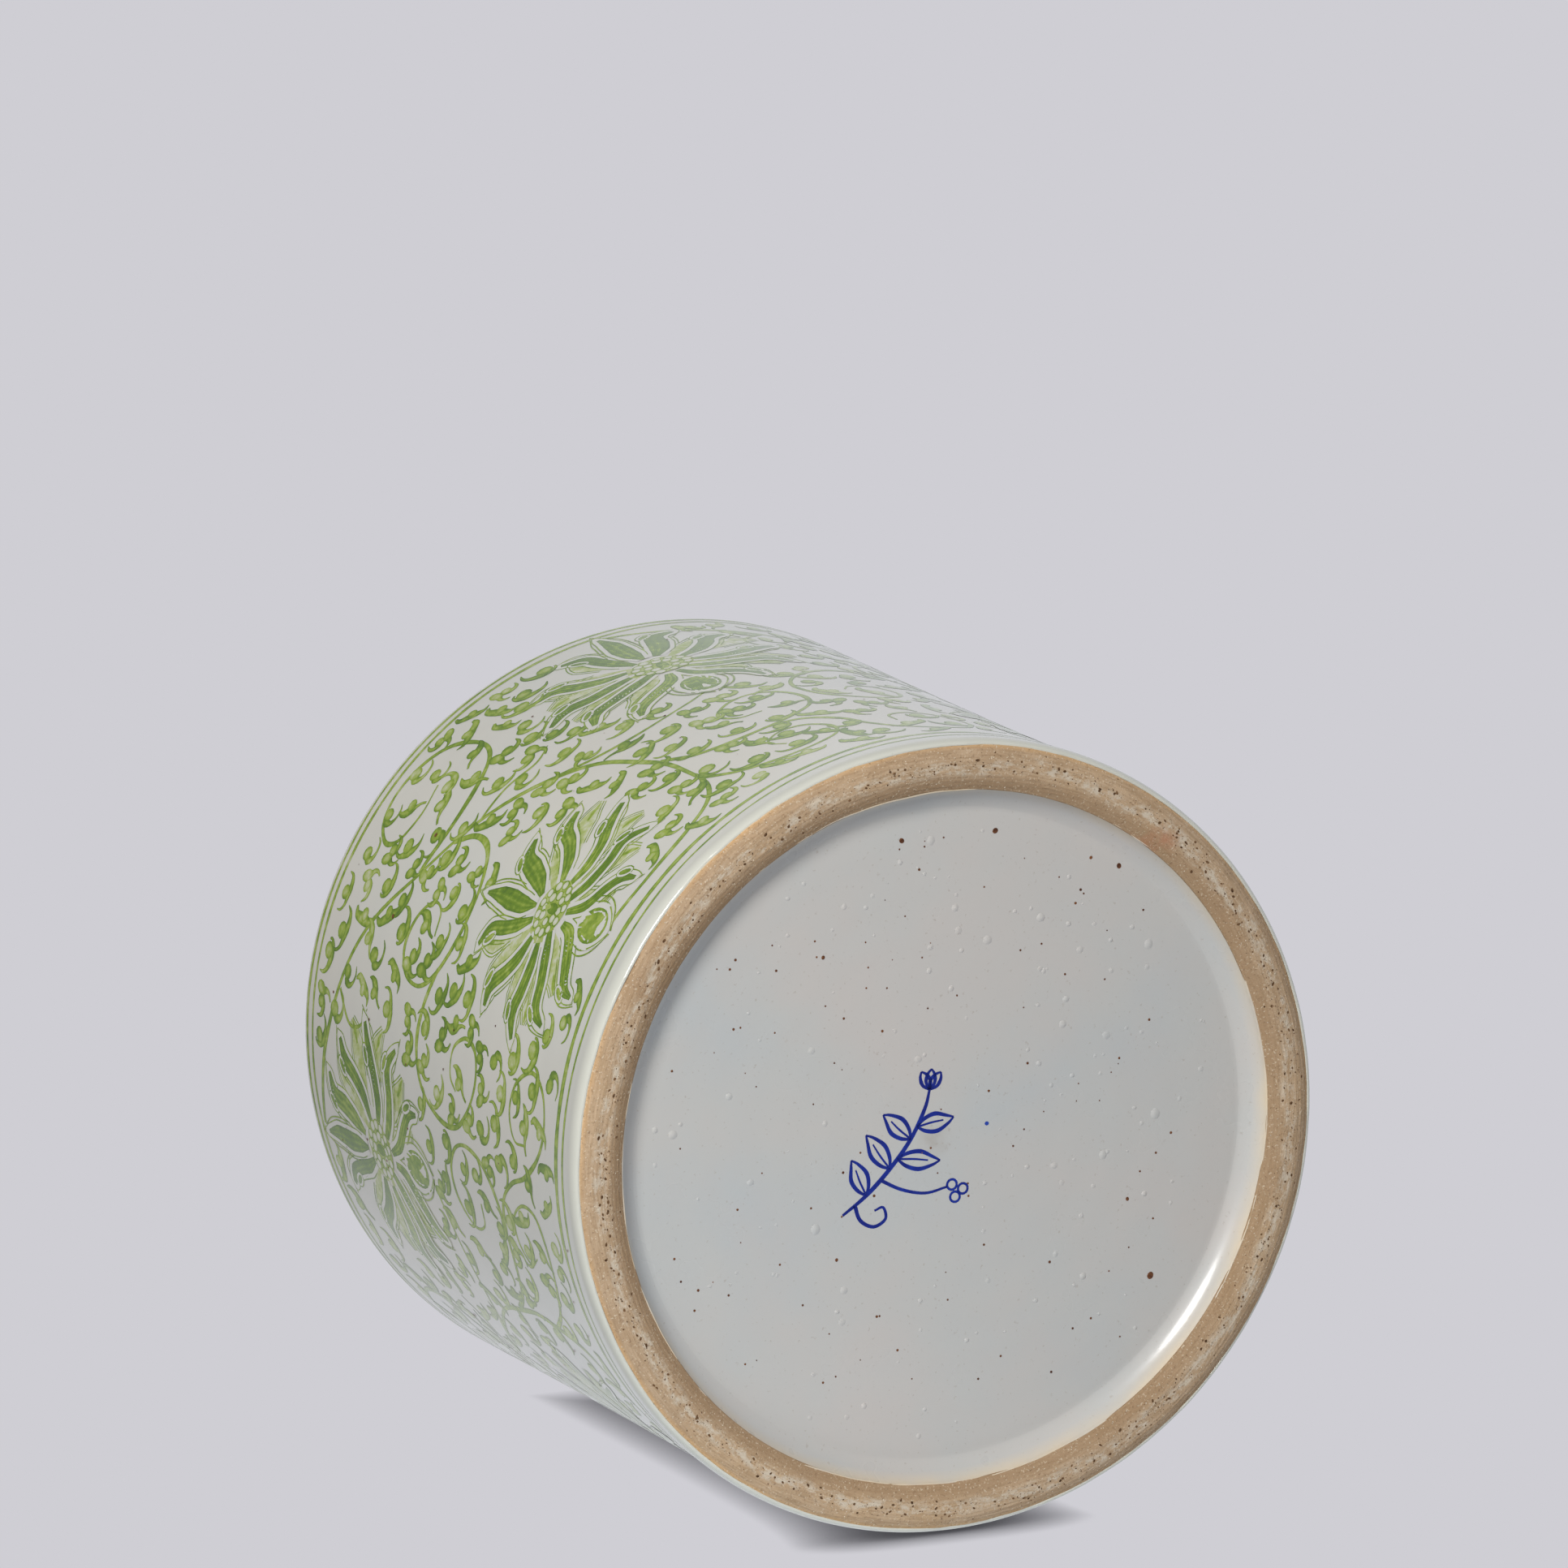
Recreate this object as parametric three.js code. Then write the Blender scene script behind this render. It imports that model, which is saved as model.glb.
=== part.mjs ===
// A porcelain brush pot: a slightly waisted cylinder on a low unglazed foot ring.
//
// Millimetres, +Z up. The pot stands on z = 0, and its axis is the Z axis.
// The clay is a wall on a base slab over a foot ring. Glaze coats the outside, the inside and the
// hollow under the base, and four rings of enamel are painted round the outside.
// Every piece is a solid of revolution, so each is one outline of [radius, height] points.

import * as THREE from 'three';

// Overall sizes, of the glazed pot
const HEIGHT = 173.6;
const FOOT_RADIUS = 94.6; // just above the foot
const WAIST_IN = 0.8; // how much narrower than the foot the waist is
const WAIST_HEIGHT = 28;
const RIM_OUT = 3.8; // how much wider than the foot the rim is
const RIM_FLARE_POWER = 1.2; // 1 is a straight cone from waist to rim, 2 a parabola

// Clay
const WALL_THICKNESS = 5.6; // glaze included
const SLAB_THICKNESS = 7.2;
const CORNER_COVE = 7; // radius of the inside corner between wall and floor

// Foot ring
const FOOT_TURN_IN = 1.5; // how far the outside curves in at the glaze edge
const FOOT_TURN_HEIGHT = 3.4;
const OUTER_BEVEL_WIDTH = 3.6;
const OUTER_BEVEL_HEIGHT = 1.6; // the outside glaze stops here
const CONTACT_WIDTH = 3; // the flat that the pot stands on
const INNER_BEVEL_WIDTH = 4.1;
const INNER_BEVEL_HEIGHT = 2; // the glaze of the hollow stops here

// Hollow under the base
const HOLLOW_DEPTH = 7.4;
const HOLLOW_COVE_WIDTH = 6; // from the foot ring's inner edge to the flat ceiling

// Coats
const GLAZE_THICKNESS = 0.45;
const BOND_GAP = 0.3; // between a coat and what it lies on, and between two clay pieces
const COAT_MEETING_GAP = 0.3; // between the outside and the inside coat on top of the lip

// Enamel rings
const LINE_WIDTH = 1.3;
const ENAMEL_THICKNESS = 0.25;
const FOOT_LINE_HEIGHTS = { enamel_line_foot_low: 8.8, enamel_line_foot_high: 13.2 };
const RIM_LINE_DEPTHS = { enamel_line_rim_low: 4.2, enamel_line_rim_high: 1 }; // below the lip's shoulder

// Facets
const SEGMENTS = 48;
const WALL_STEPS = 5;
const ARC_STEPS = 3;
const SHORTEST_FACET = 0.05;

// Heights that follow from these
const { sqrt, max, min, PI, sin, cos, hypot } = Math;
const COAT = GLAZE_THICKNESS + BOND_GAP; // from a glazed surface in to the clay behind it
const FOOT_GLAZE_Z = OUTER_BEVEL_HEIGHT;
const FOOT_TURN_TOP = FOOT_GLAZE_Z + FOOT_TURN_HEIGHT;
const SLAB_BOTTOM = HOLLOW_DEPTH + COAT;
const SLAB_TOP = SLAB_BOTTOM + SLAB_THICKNESS;
const FLOOR = SLAB_TOP + COAT;
const LIP_RADIUS = WALL_THICKNESS / 2;
const LIP_CENTRE_Z = HEIGHT - LIP_RADIUS;

// Outside radius of the glazed pot at height z: waisted, and turned in at the foot.
function outsideRadius(z) {
  const below = max(0, WAIST_HEIGHT - z) / WAIST_HEIGHT;
  const above = max(0, z - WAIST_HEIGHT) / (LIP_CENTRE_Z - WAIST_HEIGHT);
  const waisted = FOOT_RADIUS - WAIST_IN * (1 - below ** 2) + (WAIST_IN + RIM_OUT) * above ** RIM_FLARE_POWER;
  const turn = min(1, max(0, FOOT_TURN_TOP - z) / FOOT_TURN_HEIGHT);
  return waisted - FOOT_TURN_IN * (1 - sqrt(1 - turn ** 2));
}

// Numbers from low to high in even steps, both ends included.
function ramp(low, high, steps) {
  return Array.from({ length: steps + 1 }, (_, i) => low + (high - low) * i / steps);
}

// The heights at which the wall's outline bends, the same ones for clay and coats, so that their
// facets lie parallel.
const STATIONS = [
  ...ramp(FOOT_GLAZE_Z, FOOT_TURN_TOP, ARC_STEPS),
  ...ramp(FOOT_TURN_TOP, LIP_CENTRE_Z, WALL_STEPS).slice(1),
];

// Outside radius of the faceted wall at any height.
function wallRadius(z) {
  const next = min(STATIONS.length - 1, max(1, STATIONS.findIndex(station => station >= z)));
  const [low, high] = [STATIONS[next - 1], STATIONS[next]];
  return THREE.MathUtils.mapLinear(z, low, high, outsideRadius(low), outsideRadius(high));
}

// The outside surface, set in by depth, from low to high.
function outsideLine(low, high, depth) {
  const between = STATIONS.filter(z => z > low + SHORTEST_FACET && z < high - SHORTEST_FACET);
  return [low, ...between, high].map(z => [wallRadius(z) - depth, z]);
}

// The inside surface, from high to low. Depth goes back into the wall.
function insideLine(high, low, depth) {
  return outsideLine(low, high, WALL_THICKNESS - depth).reverse();
}

// Radii that follow from the outline
const FOOT_EDGE = wallRadius(FOOT_GLAZE_Z);
const CONTACT_OUTSIDE = FOOT_EDGE - OUTER_BEVEL_WIDTH;
const CONTACT_INSIDE = CONTACT_OUTSIDE - CONTACT_WIDTH;
const HOLLOW_EDGE = CONTACT_INSIDE - INNER_BEVEL_WIDTH;
const HOLLOW_CORNER = HOLLOW_EDGE - HOLLOW_COVE_WIDTH;
const LIP_CENTRE = wallRadius(LIP_CENTRE_Z) - LIP_RADIUS;
const LIP_HALF_GAP = COAT_MEETING_GAP / LIP_RADIUS / PI; // in quarter turns
const COVE_TOP = FLOOR + CORNER_COVE;
const COVE_CENTRE = wallRadius(COVE_TOP) - WALL_THICKNESS - CORNER_COVE;

// An arc round a centre, between two angles in quarter turns from +radius towards +height.
function arc(centreRadius, centreZ, radius, fromQuarter, toQuarter, steps = ARC_STEPS) {
  return ramp(fromQuarter, toQuarter, steps).map(quarter => [
    centreRadius + radius * cos(quarter * PI / 2),
    centreZ + radius * sin(quarter * PI / 2),
  ]);
}

// The coved side of the hollow, a quarter ellipse from the ceiling down to the foot ring's inner
// edge. Depth moves it into the clay.
function hollowSide(depth) {
  const drop = HOLLOW_DEPTH - INNER_BEVEL_HEIGHT;
  return ramp(0, PI / 2, ARC_STEPS).map(angle => {
    const outward = drop * sin(angle);
    const upward = HOLLOW_COVE_WIDTH * cos(angle);
    const share = depth / hypot(outward, upward);
    return [
      HOLLOW_CORNER + HOLLOW_COVE_WIDTH * sin(angle) + outward * share,
      INNER_BEVEL_HEIGHT + drop * cos(angle) + upward * share,
    ];
  });
}

// Turns an outline about Z. One that doesn't start and end on the axis is closed first.
function turned(outline) {
  const points = outline.map(([radius, z]) => new THREE.Vector2(radius, z));
  if (points[0].x > 0) points.push(points[0].clone());
  const area = points.reduce((sum, point, i) => sum + point.cross(points[(i + 1) % points.length]), 0);
  if (area < 0) points.reverse();
  return new THREE.LatheGeometry(points, SEGMENTS).rotateX(PI / 2);
}

function footRing() {
  const top = SLAB_BOTTOM - BOND_GAP;
  const shoulder = INNER_BEVEL_HEIGHT - BOND_GAP; // just under the edge of the hollow's glaze
  const side = hollowSide(COAT).filter(([, z]) => z > shoulder + BOND_GAP / 2 && z < top - BOND_GAP);
  return turned([
    [CONTACT_INSIDE, 0],
    [CONTACT_OUTSIDE, 0],
    ...outsideLine(FOOT_GLAZE_Z, top, COAT),
    [side[0][0], top],
    ...side,
    [HOLLOW_EDGE + COAT, shoulder],
    [HOLLOW_EDGE, shoulder],
  ]);
}

function baseSlab() {
  return turned([[0, SLAB_BOTTOM], ...outsideLine(SLAB_BOTTOM, SLAB_TOP, COAT), [0, SLAB_TOP]]);
}

function bodyWall() {
  const bottom = SLAB_TOP + BOND_GAP;
  const cove = arc(COVE_CENTRE, COVE_TOP, CORNER_COVE + COAT, 0, -1).filter(([, z]) => z > bottom + BOND_GAP);
  return turned([
    ...outsideLine(bottom, LIP_CENTRE_Z, COAT),
    ...arc(LIP_CENTRE, LIP_CENTRE_Z, LIP_RADIUS - COAT, 0, 2, 2 * ARC_STEPS).slice(1, -1),
    ...insideLine(LIP_CENTRE_Z, COVE_TOP, COAT),
    ...cove.slice(1),
    [cove.at(-1)[0], bottom],
  ]);
}

function outsideGlaze() {
  const crown = 1 - LIP_HALF_GAP;
  return turned([
    ...outsideLine(FOOT_GLAZE_Z, LIP_CENTRE_Z, 0),
    ...arc(LIP_CENTRE, LIP_CENTRE_Z, LIP_RADIUS, 0, crown).slice(1),
    ...arc(LIP_CENTRE, LIP_CENTRE_Z, LIP_RADIUS - GLAZE_THICKNESS, crown, 0),
    ...outsideLine(FOOT_GLAZE_Z, LIP_CENTRE_Z, GLAZE_THICKNESS).reverse().slice(1),
  ]);
}

function insideGlaze() {
  const crown = 1 + LIP_HALF_GAP;
  return turned([
    [0, FLOOR - GLAZE_THICKNESS],
    ...arc(COVE_CENTRE, COVE_TOP, CORNER_COVE + GLAZE_THICKNESS, -1, 0),
    ...insideLine(LIP_CENTRE_Z, COVE_TOP, GLAZE_THICKNESS).reverse().slice(1),
    ...arc(LIP_CENTRE, LIP_CENTRE_Z, LIP_RADIUS - GLAZE_THICKNESS, 2, crown).slice(1),
    ...arc(LIP_CENTRE, LIP_CENTRE_Z, LIP_RADIUS, crown, 2),
    ...insideLine(LIP_CENTRE_Z, COVE_TOP, 0).slice(1),
    ...arc(COVE_CENTRE, COVE_TOP, CORNER_COVE, 0, -1).slice(1),
    [0, FLOOR],
  ]);
}

function undersideGlaze() {
  return turned([
    [0, HOLLOW_DEPTH],
    ...hollowSide(0),
    ...hollowSide(GLAZE_THICKNESS).reverse(),
    [0, HOLLOW_DEPTH + GLAZE_THICKNESS],
  ]);
}

// A flat ring of enamel lying on the outside glaze, its middle at height z.
function enamelLine(z) {
  const low = z - LINE_WIDTH / 2;
  const high = z + LINE_WIDTH / 2;
  return turned([
    ...outsideLine(low, high, -BOND_GAP),
    ...outsideLine(low, high, -BOND_GAP - ENAMEL_THICKNESS).reverse(),
  ]);
}

const CLAY = { color: 0xc9b496, roughness: 0.85 };
const GLAZE = { color: 0xdfe2dc, roughness: 0.15 };
const ENAMEL = { color: 0x8fae6e, roughness: 0.3 };

const group = new THREE.Group();

function add(name, geometry, finish) {
  const mesh = new THREE.Mesh(geometry, new THREE.MeshStandardMaterial({ ...finish, metalness: 0 }));
  mesh.name = name;
  group.add(mesh);
}

add('foot_ring', footRing(), CLAY);
add('base_slab', baseSlab(), CLAY);
add('body_wall', bodyWall(), CLAY);
add('outside_glaze', outsideGlaze(), GLAZE);
add('inside_glaze', insideGlaze(), GLAZE);
add('underside_glaze', undersideGlaze(), GLAZE);
for (const [name, height] of Object.entries(FOOT_LINE_HEIGHTS)) add(name, enamelLine(height), ENAMEL);
for (const [name, depth] of Object.entries(RIM_LINE_DEPTHS)) add(name, enamelLine(LIP_CENTRE_Z - depth), ENAMEL);

export default group;
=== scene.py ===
# A porcelain brush pot, painted with a green flower scroll.
# Metres, +Z up, the pot standing on z = 0. Sizes below are in millimetres and MM brings them to metres.
import math

import bpy
import numpy as np
from mathutils import Matrix, Vector


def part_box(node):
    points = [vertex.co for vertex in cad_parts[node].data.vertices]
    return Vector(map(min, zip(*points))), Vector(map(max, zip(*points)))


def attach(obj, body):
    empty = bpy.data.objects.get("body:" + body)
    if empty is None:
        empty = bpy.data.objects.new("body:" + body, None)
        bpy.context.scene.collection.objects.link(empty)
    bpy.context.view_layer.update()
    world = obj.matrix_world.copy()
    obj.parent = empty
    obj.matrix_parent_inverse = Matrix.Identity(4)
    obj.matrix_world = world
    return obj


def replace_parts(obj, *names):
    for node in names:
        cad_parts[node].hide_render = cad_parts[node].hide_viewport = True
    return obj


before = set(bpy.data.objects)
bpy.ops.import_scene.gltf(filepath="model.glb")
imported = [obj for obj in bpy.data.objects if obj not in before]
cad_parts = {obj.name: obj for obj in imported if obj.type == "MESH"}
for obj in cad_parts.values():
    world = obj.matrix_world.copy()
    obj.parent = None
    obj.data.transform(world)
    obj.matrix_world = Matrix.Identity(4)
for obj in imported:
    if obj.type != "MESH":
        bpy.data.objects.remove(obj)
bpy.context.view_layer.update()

MM = 0.001
TAU = 2 * math.pi


# ---------------------------------------------------------------- the pot's outline, from the frame

def box_mm(node):
    low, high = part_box(node)
    return low / MM, high / MM


OUTSIDE_LOW, OUTSIDE_HIGH = box_mm("outside_glaze")
INSIDE_LOW = box_mm("inside_glaze")[0]
HOLLOW_LOW, HOLLOW_HIGH = box_mm("underside_glaze")
GLAZE = 0.45                                  # thickness of each coat
RIM_RADIUS = OUTSIDE_HIGH.x
LIP_RADIUS = 2.8
RIM_Z = OUTSIDE_HIGH.z
LIP_Z = RIM_Z - LIP_RADIUS
RIM_OUT = 3.8                                 # how much wider than the foot the rim is
FOOT_RADIUS = RIM_RADIUS - RIM_OUT
WAIST_IN = 0.8
WAIST_Z = 28
FLARE_POWER = 1.2
GLAZE_EDGE_Z = OUTSIDE_LOW.z
TURN_IN = 1.5
TURN_HEIGHT = 3.4
FOOT_EDGE = FOOT_RADIUS - TURN_IN
OUTER_BEVEL = 3.6
CONTACT_WIDTH = 3.0
INNER_BEVEL = 4.1
HOLLOW_COVE = 6
CONTACT_OUTSIDE = FOOT_EDGE - OUTER_BEVEL
CONTACT_INSIDE = CONTACT_OUTSIDE - CONTACT_WIDTH
HOLLOW_EDGE = CONTACT_INSIDE - INNER_BEVEL
HOLLOW_EDGE_Z = HOLLOW_LOW.z
HOLLOW_CORNER = HOLLOW_EDGE - HOLLOW_COVE
HOLLOW_CREASE = HOLLOW_CORNER + 1.0
CEILING_Z = HOLLOW_HIGH.z - GLAZE
FLOOR_Z = INSIDE_LOW.z + GLAZE
COVE = 7
WALL_THICK = 5.6


def outside_radius(z):
    """Radius of the outside glaze at height z, both in millimetres."""
    below = np.maximum(0, WAIST_Z - z) / WAIST_Z
    above = np.maximum(0, z - WAIST_Z) / (LIP_Z - WAIST_Z)
    radius = FOOT_RADIUS - WAIST_IN * (1 - below ** 2) + (WAIST_IN + RIM_OUT) * above ** FLARE_POWER
    turn = np.clip((GLAZE_EDGE_Z + TURN_HEIGHT - z) / TURN_HEIGHT, 0, 1)
    return radius - TURN_IN * (1 - np.sqrt(1 - turn ** 2))


def ripple(angle, seed, waves):
    """A closed wandering line round the pot: waves is a list of (waves per turn, height)."""
    rng = np.random.default_rng(seed)
    return sum(height * np.sin(count * angle + rng.uniform(0, TAU)) for count, height in waves)


def hand(angle, z):
    """How far the hand-thrown wall stands off a true one."""
    turning = 0.010 * np.sin(TAU * z / 9 + angle)
    sway = ripple(angle, 3, [(2, 0.22), (3, 0.10), (5, 0.05)]) * (0.4 + 0.6 * z / RIM_Z)
    return turning + sway


def on_wall(angle, z, lift=0.0):
    """Points in metres on the outside glaze."""
    radius = outside_radius(z) + hand(angle, z) + lift
    return np.stack([radius * np.cos(angle), radius * np.sin(angle), z + 0 * angle], -1) * MM


def hollow_z(place):
    """Height of the glazed ceiling of the hollow under the base, at points (x, y) in mm."""
    radius = np.linalg.norm(place, axis=-1)
    angle = np.arctan2(place[..., 1], place[..., 0])
    sag = 0.22 * (1 - (radius / HOLLOW_CREASE) ** 2)
    rings = 0.012 * np.sin(TAU * radius / 11 + angle)
    return CEILING_Z + sag - rings * np.minimum(1, radius / 8)


def base_spot(right, up):
    """A place on the underside, in metres, given in mm to the right of its middle and above it."""
    x, y = (right + up) * math.sqrt(0.5), (right - up) * math.sqrt(0.5)
    return x * MM, y * MM, float(hollow_z(np.array([x, y]))) * MM


# ---------------------------------------------------------------- mesh making

def add_object(name, points, faces, material, attributes=None, normals=None):
    mesh = bpy.data.meshes.new(name)
    mesh.from_pydata(np.asarray(points, float).tolist(), [], faces)
    for key, values in (attributes or {}).items():
        layer = mesh.attributes.new(key, "FLOAT", "POINT")
        layer.data.foreach_set("value", np.asarray(values, np.float32))
    mesh.polygons.foreach_set("use_smooth", [True] * len(mesh.polygons))
    mesh.materials.append(material)
    mesh.update()
    if normals is not None:
        mesh.normals_split_custom_set_from_vertices(np.asarray(normals, float).tolist())
    piece = bpy.data.objects.new(name, mesh)
    bpy.context.scene.collection.objects.link(piece)
    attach(piece, "root")
    return piece


def revolve(name, outline, segments, material, wobble=None):
    """Turns an outline of (radius, height) in millimetres about Z. It closes on itself, or starts and
    ends on the axis. wobble(angle, radius, z) gives the new radius and z of every point."""
    outline = np.asarray(outline, float)
    on_axis = outline[0, 0] < 1e-6
    rows = outline[1:-1] if on_axis else outline
    angle = np.linspace(0, TAU, segments, endpoint=False)[:, None]
    radius = np.repeat(rows[None, :, 0], segments, 0)
    z = np.repeat(rows[None, :, 1], segments, 0)
    if wobble:
        radius, z = wobble(angle + 0 * radius, radius, z)
    points = np.stack([radius * np.cos(angle), radius * np.sin(angle), z], -1).reshape(-1, 3)
    count = len(rows)
    faces = []
    for s in range(segments):
        here, there = s * count, (s + 1) % segments * count
        steps = range(count - 1) if on_axis else range(count)
        faces += [(here + i, there + i, there + (i + 1) % count, here + (i + 1) % count) for i in steps]
    if on_axis:
        start, end = len(points), len(points) + 1
        points = np.vstack([points, [[0, 0, z[:, 0].mean()], [0, 0, z[:, -1].mean()]]])
        for s in range(segments):
            here, there = s * count, (s + 1) % segments * count
            faces.append((start, there, here))
            faces.append((end, here + count - 1, there + count - 1))
    return add_object(name, points * MM, faces, material)


def arc(centre_radius, centre_z, radius, start, end, steps):
    """Points of an arc, from start to end in degrees from +radius towards +z."""
    turn = np.radians(np.linspace(start, end, steps + 1))
    return np.stack([centre_radius + radius * np.cos(turn), centre_z + radius * np.sin(turn)], -1)


# ---------------------------------------------------------------- materials

class Shader:
    """A material's node tree, built from the texture end to the Principled shader."""

    def __init__(self, name, **finish):
        self.material = bpy.data.materials.new(name)
        self.material.use_nodes = True
        self.tree = self.material.node_tree
        self.surface = self.tree.nodes["Principled BSDF"]
        for socket, value in finish.items():
            self.surface.inputs[socket.replace("_", " ")].default_value = value

    def add(self, kind, *links, **settings):
        """A node. Each link is (socket, value or node or (node, output))."""
        node = self.tree.nodes.new("ShaderNode" + kind)
        for key, value in settings.items():
            setattr(node, key, value)
        for socket, value in links:
            self.join(node, socket, value)
        return node

    def join(self, node, socket, value):
        if isinstance(value, bpy.types.Node):
            value = (value, 0)
        if isinstance(value, tuple) and isinstance(value[0], bpy.types.Node):
            self.tree.links.new(value[0].outputs[value[1]], node.inputs[socket])
        else:
            node.inputs[socket].default_value = value

    def place(self):
        return self.add("TexCoord"), "Object"

    def noise(self, scale, detail=3.0, roughness=0.55, at=None):
        return self.add("TexNoise", ("Vector", at or self.place()), ("Scale", scale),
                        ("Detail", detail), ("Roughness", roughness)), "Fac"

    def maths(self, operation, a, b=0.0, clamp=False):
        return self.add("Math", (0, a), (1, b), operation=operation, use_clamp=clamp)

    def span(self, value, low, high, to_low=0.0, to_high=1.0):
        """value taken from low..high to to_low..to_high, and held there."""
        return self.add("MapRange", ("Value", value), ("From Min", low), ("From Max", high),
                        ("To Min", to_low), ("To Max", to_high))

    def ramp(self, value, stops, easing="LINEAR"):
        node = self.add("ValToRGB", ("Fac", value))
        band = node.color_ramp
        band.interpolation = easing
        while len(band.elements) < len(stops):
            band.elements.new(0.5)
        for element, (place, colour) in zip(band.elements, stops):
            element.position = place
            element.color = (*colour, 1)
        return node

    def mix(self, share, a, b, blend="MIX"):
        node = self.add("Mix", data_type="RGBA", blend_type=blend)
        self.join(node, 0, share)
        for socket, value in ((6, a), (7, b)):
            self.join(node, socket, (*value, 1) if isinstance(value, tuple) and len(value) == 3 else value)
        return node, 2

    def height(self, value, distance, strength=1.0, over=None):
        links = [("Height", value), ("Distance", distance), ("Strength", strength)]
        if over:
            links.append(("Normal", over))
        return self.add("Bump", *links)

    def radius(self):
        """Distance from the pot's axis, in metres."""
        apart = self.add("SeparateXYZ", ("Vector", self.place()))
        square = self.maths("ADD", self.maths("MULTIPLY", (apart, 0), (apart, 0)),
                            self.maths("MULTIPLY", (apart, 1), (apart, 1)))
        return self.maths("SQRT", square)

    def z(self):
        return self.add("SeparateXYZ", ("Vector", self.place())), 2

    def near(self, point, core, reach):
        """One within core of a point, in metres, fading to nothing at reach."""
        away = self.add("VectorMath", (0, self.place()), (1, point), operation="DISTANCE")
        return self.span((away, 1), core, reach, 1, 0)

    def finish(self, colour, normal=None, roughness=None):
        self.join(self.surface, "Base Color", colour)
        if normal:
            self.join(self.surface, "Normal", normal)
        if roughness:
            self.join(self.surface, "Roughness", roughness)
        return self.material


OUTSIDE_WHITE = (0.685, 0.675, 0.615)


def wall_tone(s):
    """The colour of the glaze on the wall: a cool white that drifts, and pools cream at the foot."""
    drift = s.noise(11, 3)
    tone = s.ramp(drift, [(0.3, (0.66, 0.67, 0.625)), (0.55, OUTSIDE_WHITE), (0.75, (0.70, 0.675, 0.605))])
    tone = s.mix(s.span(s.z(), 0.003, 0.011, 0.8, 0), tone, (0.62, 0.63, 0.56))
    return s.mix(s.span(s.noise(900, 2), 0.72, 0.78, 0, 0.25), tone, (0.42, 0.40, 0.32))


def orange_peel(s):
    return s.height(s.noise(160, 2), 0.00006, 0.5)


def outside_glaze_material():
    s = Shader("outside_glaze", Coat_Weight=0.6, Coat_Roughness=0.06, Specular_IOR_Level=0.5)
    return s.finish(wall_tone(s), orange_peel(s), s.span(s.noise(60), 0.05, 0.95, 0.11, 0.31))


def inside_glaze_material():
    s = Shader("inside_glaze", Coat_Weight=0.6, Coat_Roughness=0.06, Specular_IOR_Level=0.5)
    tone = s.ramp(s.noise(14, 3), [(0.3, (0.58, 0.60, 0.56)), (0.7, (0.63, 0.63, 0.585))])
    grain = s.noise(700, 2)
    tone = s.mix(s.span(grain, 0.70, 0.76, 0, 0.4), tone, (0.38, 0.33, 0.25))
    peel = s.height(s.noise(140, 2), 0.00008, 0.5)
    return s.finish(tone, peel, s.span(s.noise(60), 0.05, 0.95, 0.11, 0.33))


def hollow_tone(s):
    """The colour of the glaze under the base: grey white with cool and warm clouds, and fine dust."""
    cloud = s.noise(16, 3, 0.6)
    tone = s.ramp(cloud, [(0.32, (0.50, 0.525, 0.53)), (0.5, (0.53, 0.535, 0.52)),
                          (0.7, (0.56, 0.535, 0.51))])
    patch = s.noise(46, 4, 0.6)
    tone = s.mix(s.span(patch, 0.4, 0.7, 0, 0.35), tone, (0.56, 0.52, 0.49))
    dusty = s.noise(1100, 2)
    tone = s.mix(s.span(dusty, 0.66, 0.74, 0, 0.35), tone, (0.33, 0.28, 0.22))
    edge = s.span(s.z(), 0.0021, 0.0058, 1, 0)
    tone = s.mix(s.maths("MULTIPLY", edge, s.span(s.noise(60), 0.35, 0.6, 0.45, 1)), tone, (0.72, 0.60, 0.43))
    smudge = s.near(base_spot(-1.5, -1), 0.001, 0.005)
    smudge = s.maths("MULTIPLY", smudge, s.span(s.noise(260), 0.35, 0.65, 0.1, 0.6))
    return s.mix(smudge, tone, (0.40, 0.37, 0.33))


def hollow_peel(s):
    return s.height(s.noise(90, 2), 0.0001, 0.3, over=s.height(s.noise(420, 2), 0.00004, 0.6))


def underside_glaze_material():
    s = Shader("underside_glaze", Coat_Weight=0.4, Coat_Roughness=0.14, Specular_IOR_Level=0.45)
    return s.finish(hollow_tone(s), hollow_peel(s), s.span(s.noise(50), 0.05, 0.95, 0.18, 0.42))


def grain_material():
    """Pits filled with dirt, dark, and grains of sand, pale, by the paint attribute."""
    s = Shader("clay_grains", Specular_IOR_Level=0.2)
    kind = s.add("Attribute", attribute_name="paint"), "Fac"
    dark = s.ramp(s.noise(800, 2), [(0.35, (0.07, 0.035, 0.016)), (0.65, (0.19, 0.105, 0.05))])
    pale = s.ramp(s.noise(800, 2), [(0.35, (0.62, 0.53, 0.40)), (0.65, (0.80, 0.73, 0.60))])
    return s.finish(s.mix(s.span(kind, 0.3, 0.7), pale, dark), None, s.span(s.noise(300), 0.3, 0.7, 0.7, 0.9))


def iron_material():
    s = Shader("iron_specks", Specular_IOR_Level=0.5)
    tone = s.ramp(s.noise(900, 2), [(0.35, (0.075, 0.025, 0.010)), (0.65, (0.20, 0.075, 0.025))])
    return s.finish(tone, None, s.span(s.noise(300), 0.3, 0.7, 0.3, 0.5))


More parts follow.
